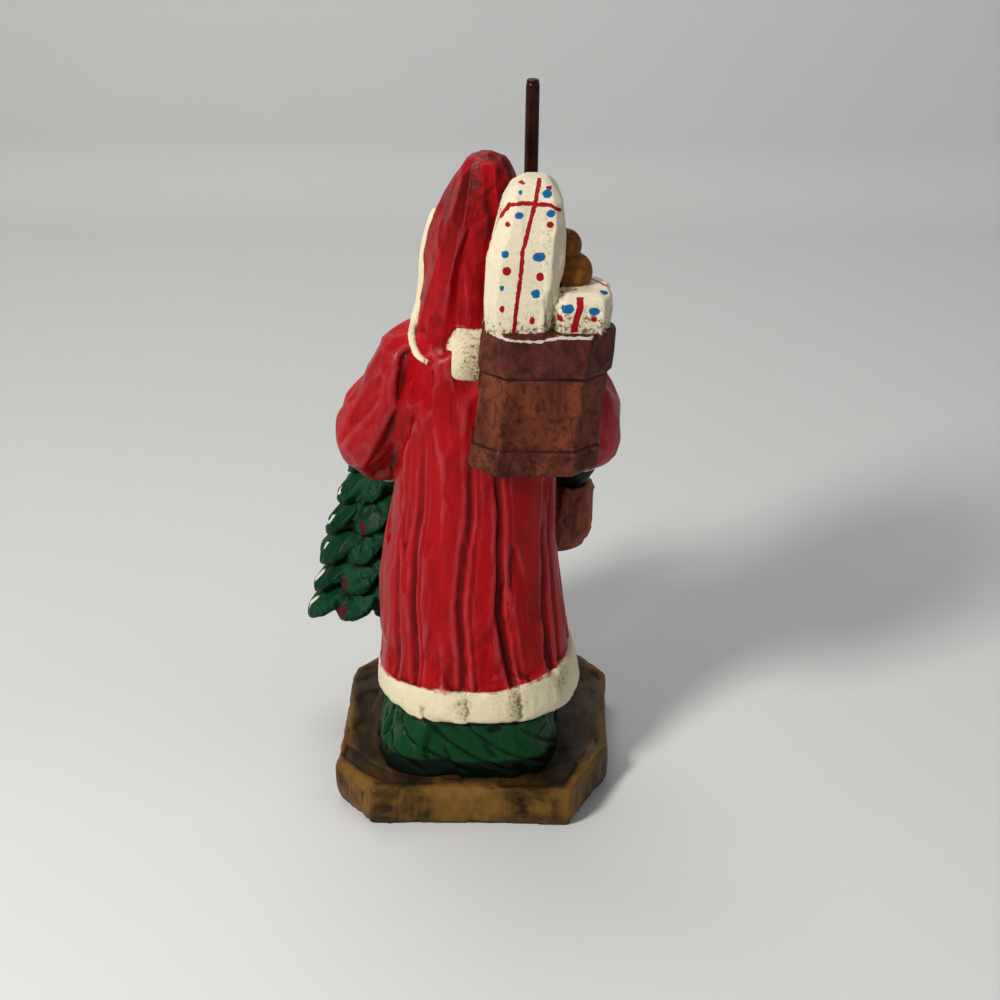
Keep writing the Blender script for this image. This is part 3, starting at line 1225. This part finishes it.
def packMaterial():
    n = Nodes("painted pack")
    hollow = n.value("hollow")
    upright = n.noise((170, 170, 22), 4, 0.6, 0.5)
    blotch = n.noise((60, 60, 40), 4, 0.6, 0.3, 3)
    fine = n.noise((900, 900, 700), 2, 0.6)
    specks = n.ranged(n.noise((620, 620, 620), 3, 0.7, 0.4, 5), 0.48, 0.66)
    ragged = n.noise((500, 500, 500), 2, 0.5, 0, 8)
    mottle = n.noise((260, 260, 200), 4, 0.7, 0.5, 17)
    wood = n.mix(n.ranged(blotch, 0.32, 0.68), pack["wood"], pack["woodLight"])
    wood = n.mix(n.ranged(mottle, 0.46, 0.66, 0, 0.7), wood, pack["woodDark"])
    wood = n.mix(n.ranged(upright, 0.55, 0.75, 0, 0.45), wood, pack["woodDark"])
    wood = n.mix(n.ranged(hollow, 0.03, 0.35, 0, 0.92), wood, pack["woodDark"])
    wood = n.mix(n.ranged(n.sum("MULTIPLY", hollow, -1), 0.12, 0.4, 0, 0.4), wood, pack["woodLight"])
    rim = n.ranged(n.value("rimBand"), -0.4, 0.4, 0, 0.5)
    wood = n.mix(n.sum("MULTIPLY", rim, n.ranged(mottle, 0.3, 0.6, 0.4, 1)), wood, (0.035, 0.009, 0.01))
    grooves = n.sum("MULTIPLY", n.ranged(n.value("groove"), -0.5, 0.4, 0, 0.9), n.ranged(blotch, 0.35, 0.5, 0.35, 1))
    wood = n.mix(grooves, wood, (0.004, 0.002, 0.002))
    band = n.sum("MULTIPLY", n.value("lowBand"), n.ranged(specks, 0.3, 1, 0.1, 0.85))
    wood = n.mix(band, wood, (0.012, 0.005, 0.003))
    dirt = n.sum("MULTIPLY_ADD", n.ranged(hollow, 0, 0.4), 0.7, n.value("grime"))
    dirt = n.sum("MULTIPLY_ADD", n.ranged(blotch, 0.5, 0.75), 0.25, dirt)
    dirt = n.sum("MULTIPLY", dirt, n.sum("MULTIPLY_ADD", specks, 0.85, 0.15))
    cream = n.mix(n.ranged(fine, 0.4, 0.7, 0, 0.25), pack["cream"], (0.5, 0.45, 0.33))
    cream = n.mix(n.ranged(dirt, 0.05, 0.9), cream, pack["creamDirt"])
    small = n.sum("MULTIPLY_ADD", ragged, 0.75, 0.1)
    cream = n.mix(n.inside(n.value("ribbon"), small, 0.12), cream, pack["ribbonRed"])
    cream = n.mix(n.inside(n.value("redDot"), small, 0.12), cream, pack["ribbonRed"])
    cream = n.mix(n.inside(n.value("blueDot"), small, 0.12), cream, pack["blue"])
    cream = n.mix(n.ranged(specks, 0.6, 1, 0, 0.18), cream, pack["creamDirt"])
    bear = n.mix(n.ranged(blotch, 0.35, 0.65), pack["bearBrown"], (0.24, 0.1, 0.014))
    bear = n.mix(n.ranged(mottle, 0.45, 0.65, 0, 0.6), bear, (0.05, 0.012, 0.004))
    bear = n.mix(n.ranged(hollow, 0.0, 0.35, 0, 0.9), bear, (0.07, 0.014, 0.006))
    isCream = n.inside(n.value("cream"), ragged)
    colour = n.mix(isCream, wood, cream)
    colour = n.mix(n.inside(n.value("bear"), ragged), colour, bear)
    colour = n.mix(n.inside(n.value("rim"), n.sum("MULTIPLY_ADD", ragged, 0.8, 0.1), 0.12), colour, (0.5, 0.46, 0.36))
    n.bump((upright, 0.4, 0.4), (fine, 0.35, 0.2))
    return n.finish(colour, n.sum("MULTIPLY_ADD", isCream, 0.15, n.ranged(blotch, 0.3, 0.7, 0.36, 0.5)))


# difference: the mesh less what lies inside the cutters, keeping the largest piece
def cutAway(mesh, cutters):
    for cutter in cutters:
        tool = bpy.data.objects.new("cutter", cutter)
        bpy.context.scene.collection.objects.link(tool)
        mesh = withModifier(mesh, "BOOLEAN", {"object": tool, "operation": "DIFFERENCE", "solver": "MANIFOLD"})
        bpy.data.objects.remove(tool)
    return largestPart(mesh)


# pieces of a mesh: every vertex takes the lowest number among its neighbours until none changes
def largestPart(mesh):
    edges = edgesOf(mesh)
    label = np.arange(len(mesh.vertices))
    while True:
        low = np.minimum(label[edges[:, 0]], label[edges[:, 1]])
        following = label.copy()
        np.minimum.at(following, edges[:, 0], low)
        np.minimum.at(following, edges[:, 1], low)
        following = following[following]
        if (following == label).all():
            break
        label = following
    numbers, counts = np.unique(label, return_counts=True)
    if len(numbers) == 1:
        return mesh
    keep = label == numbers[counts.argmax()]
    corners = np.empty(len(mesh.loops), np.int32)
    mesh.loops.foreach_get("vertex_index", corners)
    starts = np.empty(len(mesh.polygons), np.int32)
    mesh.polygons.foreach_get("loop_start", starts)
    faces = np.split(corners, starts[1:])
    renumber = np.cumsum(keep) - 1
    kept = bpy.data.meshes.new("kept")
    kept.from_pydata(placesOf(mesh)[keep].tolist(), [], [renumber[f].tolist() for f in faces if keep[f[0]]])
    kept.update()
    return kept


def makePack(seats):
    basket = leaning(blockForm(pack["section"], pack["bands"], pack["middle"]))
    presents = [leaning(uprightForm(pack[name], pack["corners"], sides=240, step=0.5, straight=True)) for name in ("tallPresent", "smallPresent")]
    bears = [leaning(lumpForm(place, size)) for place, size in pack["bear"]]
    mesh = fuse("packOfPresents", [basket, *presents, *bears], 0.66)
    places = placesOf(mesh)
    distances = np.stack([form["away"](places) for form in (basket, *presents, *bears)])
    grain = np.broadcast_to(np.array([0, 0, 1.0]), places.shape)
    edge = smooth(0, 2, np.abs(places[:, 2] - 223.5)) * smooth(0, 1.5, np.abs(places[:, 2] - 190.5))
    before = placesOf(mesh)
    whittle(mesh, grain, {"width": 9, "length": 24, "depth": 0.08, "tilt": 0.035, "limit": 0.5, "softness": 2.5, "seed": 12, "evenOut": 2})
    after = placesOf(mesh)
    setPlaces(mesh, before + (after - before) * edge[:, None])
    mesh = cutAway(mesh, seats)
    places, normals = placesOf(mesh), normalsOf(mesh)
    attribute(mesh, "hollow", hollowness(mesh, 9))
    distances = np.stack([form["away"](places) for form in (basket, *presents, *bears)])
    ofBasket, ofPresents, ofBears = distances[0], distances[1:3].min(0), distances[3:].min(0)
    aboveRim = places[:, 2] - 241.8
    attribute(mesh, "cream", np.clip(np.minimum((np.minimum(ofBasket, ofBears) - ofPresents) / 2, aboveRim), -5, 5))
    attribute(mesh, "bear", np.clip((np.minimum(ofBasket, ofPresents) - ofBears) / 2, -5, 5))
    behind = places[:, 1] > 50
    x, z = places[:, 0], places[:, 2]
    ribbon = np.max([halfWidth - lineDistance(x, z, corners) for corners, halfWidth in pack["ribbons"]], 0)
    sideways = (np.abs(normals[:, 0]) > 0.93) & (places[:, 1] < 66)
    onTop = (distances[2] < distances[1]) & (z > 258.3) & (normals[:, 2] > 0.7)
    sideRibbon = np.where(sideways & (z > 262), 0.9 - np.abs(places[:, 1] - pack["sideRibbonY"]), -5)
    ribbon = np.where(onTop, pack["topRibbon"][1] - lineDistance(x, places[:, 1], pack["topRibbon"][0]), ribbon)
    attribute(mesh, "ribbon", np.clip(np.where((behind & ~sideways) | onTop, ribbon, sideRibbon), -3, 3))
    for name, shift, topMarks in (("redDot", 0, "topRed"), ("blueDot", 4.5, "topBlue")):
        side = ellipseMargin(places - [0, 0, shift], [(a, b, 1.5, 1.5) for a, b in pack["sideDots"]], 1)
        back = ellipseMargin(places, pack[name + "s"])
        back = np.where(onTop, ellipseMargin(places, pack[topMarks], 0, 1), back)
        attribute(mesh, name, np.clip(np.where(sideways, side, np.where(behind | onTop, back, -3)), -3, 3))
    attribute(mesh, "rim", np.where(places[:, 1] > 60, 0.55 - lineDistance(x, z, pack["rim"]), -3))
    attribute(mesh, "rimBand", np.clip(z - 224, -5, 5))
    attribute(mesh, "lowBand", (1 - smooth(187.5, 189, z)) * 0.8 + 0.9 * np.exp(-(((z - 188.6) / 1.2) ** 2)))
    attribute(mesh, "groove", 0.5 - np.minimum(np.abs(z - 223.4), np.abs(z - 190.6) + 0.1))
    gap = np.abs(distances[1] - distances[2])
    low = np.exp(-(((z - 243) / 5) ** 2)) + 0.5 * np.exp(-(((z - 249) / 5) ** 2)) * smooth(-22, -27, x)
    grime = low + 0.8 * np.exp(-((gap / 1.5) ** 2)) + 0.12 + 0.3 * np.exp(-(((x + 33) / 3) ** 2) - ((z - 280) / 8) ** 2)
    attribute(mesh, "grime", np.where(places[:, 2] > 240, grime, 0))
    return finishPiece("packOfPresents", mesh, "pack_of_presents", packMaterial())


makePack(seats)
print("pack done")


# fir tree

tree = {
    "foot": (45, -46, 54),
    "top": (36, -50, 188),
    # share of the stem and reach
    "reach": [(0, 40), (0.19, 37.5), (0.36, 33), (0.53, 26), (0.7, 18.5), (0.86, 11), (1, 3.5)],
    "tiers": [60, 74, 89, 104, 120, 135, 150, 164, 176],
    "boughsAt": [16, 62, 104, 150, 196, 242, 288, 334],
    "depthShare": 0.5,
    "rise": 15,
    "green": (0.002, 0.028, 0.01),
    "light": (0.005, 0.055, 0.02),
    "dark": (0.001, 0.006, 0.003),
    # painted dabs on the boughs: along and across the bough
    "white": (0.74, 3, 1.9),
    "berry": (0.84, 3.6, 3.4),
}


def treeMaterial():
    n = Nodes("tree paint")
    hollow = n.value("hollow")
    broad = n.noise((70, 70, 70), 4, 0.6)
    fine = n.noise((900, 900, 900), 2, 0.6)
    ragged = n.noise((420, 420, 420), 2, 0.5, 0, 7)
    veins = n.value("veins")
    green = n.mix(n.ranged(broad, 0.3, 0.7), tree["green"], tree["light"])
    green = n.mix(n.ranged(veins, 0.25, 0.9, 0, 0.45), green, tree["dark"])
    green = n.mix(n.ranged(hollow, -0.02, 0.4, 0, 0.92), green, tree["dark"])
    dab = n.mix(n.ranged(fine, 0.4, 0.7, 0, 0.35), (0.62, 0.62, 0.52), (0.3, 0.33, 0.25))
    colour = n.mix(n.inside(n.value("berry"), ragged), green, (0.075, 0.006, 0.012))
    colour = n.mix(n.inside(n.value("white"), ragged), colour, dab)
    n.bump((broad, 0.3, 0.6), (fine, 0.35, 0.2))
    return n.finish(colour, n.ranged(broad, 0.3, 0.7, 0.4, 0.58), 0.08)


# boughs: on each tier, leaves that spread from the stem and droop to a point at the tier's reach
def treeForms():
    foot, top = np.array(tree["foot"], float), np.array(tree["top"], float)
    pick = np.random.default_rng(31)
    shares, reaches = np.transpose(tree["reach"])
    forms, kinds = [], []
    path = [(0, 0.3, 1, 0.5, 0.45), (0.3, 0.55, 0.74, 0.95, 0.6), (0.6, 0.78, 0.42, 1, 0.55), (0.85, 0.94, 0.14, 0.62, 0.36), (1, 1, -0.04, 0.1, 0.12)]
    for height in tree["tiers"]:
        share = (height - foot[2]) / (top[2] - foot[2])
        middle = foot + (top - foot) * share
        reach = np.interp(share, shares, reaches)
        for number, degrees in enumerate(tree["boughsAt"]):
            angle = math.radians(degrees + pick.normal(0, 3))
            out = np.array([math.cos(angle), math.sin(angle) * tree["depthShare"], 0])
            wide = (3.6 + 9.4 * reach / 40) * (1 + pick.normal(0, 0.05))
            rise = tree["rise"] * (0.6 + 0.4 * reach / 40)
            far = reach * (0.98 + pick.normal(0, 0.015))
            drop = -7 * max(0, out[0]) * reach / 40 + 6 * (number in (2, 3, 4))
            rows = [[s, *(middle + out * far * along + [0, 0, rise * up + drop * along]), wide * w, wide * t * 0.7] for s, along, up, w, t in path]
            forms.append(boughForm(rows))
            kinds.append((0, 1, 2)[number % 2 if number != 2 else 2])
    forms.append(limbForm([[0, *(foot - [0, 0, 1]), 5, 5], [0.15, *foot, 5, 5], [1, *top, 1.2, 1.2]], 2, 24, 60))
    core = []
    for height in (60, 80, 100, 120, 140, 160, 182):
        share = (height - foot[2]) / (top[2] - foot[2])
        reach = np.interp(share, shares, reaches) * 0.74
        core.append([height, *(foot + (top - foot) * share)[:2], reach, reach * tree["depthShare"]])
    forms.append(uprightForm(core, sides=90, step=2))
    return forms, np.array(kinds)


# bough: a limb whose sideways direction is level and square to the way it points
def boughForm(rows, sides=26, levels=22):
    share = np.linspace(0, 1, levels + 1)
    middle = between(rows, share)
    along = unit(np.gradient(middle[:, :3], axis=0))
    across = unit(np.cross(along, [0, 0, 1.0]))
    up = np.cross(across, along)
    angle = np.linspace(0, 360, sides, endpoint=False)[None, :]
    radius = roundRadius(angle, middle[:, 3:4], middle[:, 4:5], 1.7)
    a = np.radians(angle)[..., None]
    points = middle[:, None, :3] + radius[..., None] * (np.sin(a) * across[:, None] + np.cos(a) * up[:, None])

    def local(p):
        near = ((p[:, None, :] - middle[None, :, :3]) ** 2).sum(-1).argmin(1)
        rel = p - middle[near, :3]
        sideways, upwards = (rel * across[near]).sum(-1), (rel * up[near]).sum(-1)
        out = np.hypot(sideways, upwards) - roundRadius(np.degrees(np.arctan2(sideways, upwards)), middle[near, 3], middle[near, 4], 1.7)
        return out, share[near] + (rel * along[near]).sum(-1) / 60, sideways

    return {"points": points, "local": local, "away": lambda p: local(p)[0], "grain": unit(along.mean(0))}


# hatched veins: |sin(30 x share + half the distance sideways)|, only its crests
def veinsAt(nearest, far, sideways):
    return smooth(0.6, 1, np.abs(np.sin(far * 24 + np.abs(sideways) * 0.8 + 2 * np.sin(sideways) + nearest))) * smooth(0.3, 0.45, far)


def makeTree(seats):
    forms, kinds = treeForms()
    mesh = fuse("firTree", forms, 0.74)
    places = placesOf(mesh)

    def onBoughs(places):
        boughs = [form["local"](places) for form in forms[:-2]]
        nearest = np.argmin([b[0] for b in boughs], 0)
        here = np.arange(len(places))
        return nearest, *(np.stack([b[k] for b in boughs])[nearest, here] for k in (1, 2))

    nearest, far, sideways = onBoughs(places)
    veins = veinsAt(nearest, far, sideways)
    midrib = np.exp(-((sideways / 0.8) ** 2)) * smooth(0.35, 0.55, far)
    setPlaces(mesh, places - normalsOf(mesh) * (0.22 * veins + 0.35 * midrib)[:, None])
    grain = np.stack([form["grain"] for form in forms])[nearest]
    whittle(mesh, grain, {"width": 5, "length": 14, "depth": 0.1, "tilt": 0.09, "limit": 0.5, "softness": 2, "seed": 21, "evenOut": 2})
    mesh = cutAway(mesh, seats)
    places = placesOf(mesh)
    nearest, far, sideways = onBoughs(places)
    attribute(mesh, "veins", veinsAt(nearest, far, sideways))
    attribute(mesh, "hollow", hollowness(mesh, 9))
    attribute(mesh, "tips", smooth(0.55, 1, far))
    kind = kinds[nearest]
    lower = places[:, 2] < 152
    for name, number in (("white", 0), ("berry", 1)):
        at, long, wide = tree[name]
        margin = (1 - np.hypot((far - at) * 26 / long, sideways / wide)) * wide
        attribute(mesh, name, np.where((kind == number) & lower, np.maximum(margin, -3), -3))
    return finishPiece("firTree", mesh, "fir_tree", treeMaterial())


makeTree(seats)
print("tree done")


# sack and staff

sack = {
    "rows": [
        [101, -39, -24, 5, 5],
        [103.5, -40, -24, 12, 10.5],
        [110, -41.5, -24, 15.8, 14],
        [120, -42.5, -24, 16.8, 15],
        [129, -43.8, -24, 15.8, 13.5],
        [135, -45, -24, 12.5, 10.5],
    ],
    "creases": 7,
    "creaseDepth": 1.1,
    "brown": (0.16, 0.036, 0.018),
    "light": (0.3, 0.082, 0.04),
    "dark": (0.02, 0.005, 0.003),
}
staff = {"foot": (-24.8, -44, 20.25), "top": (-27, -12, 332.5), "radius": 3.17, "brown": (0.012, 0.003, 0.002), "red": (0.035, 0.006, 0.003)}


def brownMaterial(name, colours, scale, gloss):
    n = Nodes(name)
    grain = n.noise(scale, 4, 0.6, 0.4)
    blotch = n.noise((60, 60, 60), 4, 0.6, 0.3, 3)
    fine = n.noise((900, 900, 900), 2, 0.6)
    colour = n.mix(n.ranged(blotch, 0.3, 0.7), colours[0], colours[1])
    colour = n.mix(n.ranged(grain, 0.45, 0.72, 0, 0.75), colour, colours[2])
    colour = n.mix(n.ranged(n.value("hollow"), 0.03, 0.35, 0, 0.85), colour, colours[2])
    n.bump((grain, 0.3, 0.3), (fine, 0.3, 0.15))
    return n.finish(colour, n.ranged(blotch, 0.3, 0.7, gloss, gloss + 0.14))


def makeSack(seats):
    def creased(angle, height):
        return -sack["creaseDepth"] * np.abs(np.sin(np.radians(angle * sack["creases"] / 2))) * smooth(100, 130, height)

    form = uprightForm(sack["rows"], carve=creased, sides=160, step=0.6)
    mesh = fuse("sack", [form], 0.75)
    grain = np.broadcast_to(np.array([0, 0, 1.0]), (len(mesh.vertices), 3))
    whittle(mesh, grain, {"width": 11, "length": 17, "depth": 0.2, "tilt": 0.1, "limit": 1.1, "softness": 2.5, "seed": 17})
    mesh = cutAway(mesh, [*seats, rod(staff["radius"] + 0.35, "cutter")])
    attribute(mesh, "hollow", hollowness(mesh, 9))
    colours = (sack["brown"], sack["light"], sack["dark"])
    return finishPiece("sack", mesh, "sack", brownMaterial("sack paint", colours, (120, 120, 30), 0.42))


# dowel: circle of the radius carried from foot to top, with a slight waver where wavy is more than 0
def rod(radius, name, wavy=0.0, levels=110, sides=40):
    foot, top = np.array(staff["foot"]), np.array(staff["top"])
    share = np.linspace(0, 1, levels + 1)[:, None]
    angle = np.linspace(0, 2 * math.pi, sides, endpoint=False)[None]
    along = unit(top - foot)
    across = unit(np.cross(along, [0, 1.0, 0]))
    up = np.cross(across, along)
    round_ = np.minimum(1, np.minimum(share, 1 - share) * 312 / 0.5 + 0.86) if wavy else 1
    size = (radius - wavy + wavy * np.sin(share * 23 + np.sin(angle * 2)) * 0.9)[..., None] * np.atleast_2d(round_)[..., None]
    points = foot + (top - foot) * share[..., None] + size * (np.cos(angle)[..., None] * across + np.sin(angle)[..., None] * up)
    flat, triangles = shellOf(points)
    return meshOf(name, flat, triangles)


def makeStaff():
    mesh = rod(staff["radius"], "staff", 0.06)
    attribute(mesh, "hollow", np.zeros(len(mesh.vertices)))
    colours = (staff["brown"], staff["red"], (0.006, 0.003, 0.003))
    return finishPiece("staff", mesh, "staff", brownMaterial("dark wood", colours, (260, 260, 20), 0.2))


makeSack(seats)
makeStaff()
print("sack and staff done")


# floor, light and camera

studio = {
    "camera": (-13.6, 915, 537),
    "pitch": 23.7,
    "roll": 0.35,
    "lens": 76.03,
    "floor": (0.62, 0.62, 0.6),
    "world": ((0.9, 0.93, 1), 0.22),
    # place, size, watts, colour
    "lights": [
        ((0.75, 0.85, 1.0), 0.3, 20, (1, 0.985, 0.96)),
        ((-1.2, 0.5, 0.8), 1.2, 2.5, (0.95, 0.97, 1)),
        ((0.2, -0.7, 1.5), 1.0, 7, (1, 1, 1)),
    ],
}


def makeStudio():
    n = Nodes("pale floor")
    n.finish(n.mix(n.noise((6, 6, 6), 3), studio["floor"], tuple(v * 0.97 for v in studio["floor"])), 0.6, 0.3)
    run = np.array([[-2, 2], [2, 2], [2, -0.9], [-2, -0.9]])
    points = np.concatenate([np.c_[run, np.zeros(4)], [[2, -1.1, 0.03], [-2, -1.1, 0.03], [2, -1.2, 2], [-2, -1.2, 2]]])
    mesh = meshOf("floor", points, np.array([[3, 2, 1, 0], [5, 4, 2, 3], [7, 6, 4, 5]]))
    mesh.materials.append(n.material)
    mesh.polygons.foreach_set("use_smooth", [True] * 3)
    floor = bpy.data.objects.new("floor", mesh)
    bpy.context.scene.collection.objects.link(floor)
    world = bpy.data.worlds.new("studio")
    world.use_nodes = True
    world.node_tree.nodes["Background"].inputs[0].default_value = (*studio["world"][0], 1)
    world.node_tree.nodes["Background"].inputs[1].default_value = studio["world"][1]
    bpy.context.scene.world = world
    for place, size, power, colour in studio["lights"]:
        lamp = bpy.data.lights.new("lamp", "AREA")
        lamp.shape, lamp.size, lamp.energy, lamp.color = "DISK", size, power, colour
        holder = bpy.data.objects.new("lamp", lamp)
        holder.location = place
        aim = np.array([0, 0, 0.17]) - np.array(place)
        holder.rotation_euler = (math.atan2(math.hypot(aim[0], aim[1]), -aim[2]), 0, math.atan2(aim[1], aim[0]) - math.pi / 2)
        bpy.context.scene.collection.objects.link(holder)
    camera = bpy.data.objects.new("camera", bpy.data.cameras.new("camera"))
    camera.location = [v * mm for v in studio["camera"]]
    level = math.radians(90 - studio["pitch"])
    turned = Matrix.Rotation(math.pi, 3, "Z") @ Matrix.Rotation(level, 3, "X") @ Matrix.Rotation(math.radians(studio["roll"]), 3, "Z")
    camera.rotation_mode = "XYZ"
    camera.rotation_euler = turned.to_euler("XYZ")
    camera.data.lens = studio["lens"]
    camera.data.sensor_width = 36
    bpy.context.scene.collection.objects.link(camera)
    bpy.context.scene.camera = camera
    bpy.context.scene.view_settings.view_transform = "Standard"


makeStudio()
print("studio done")
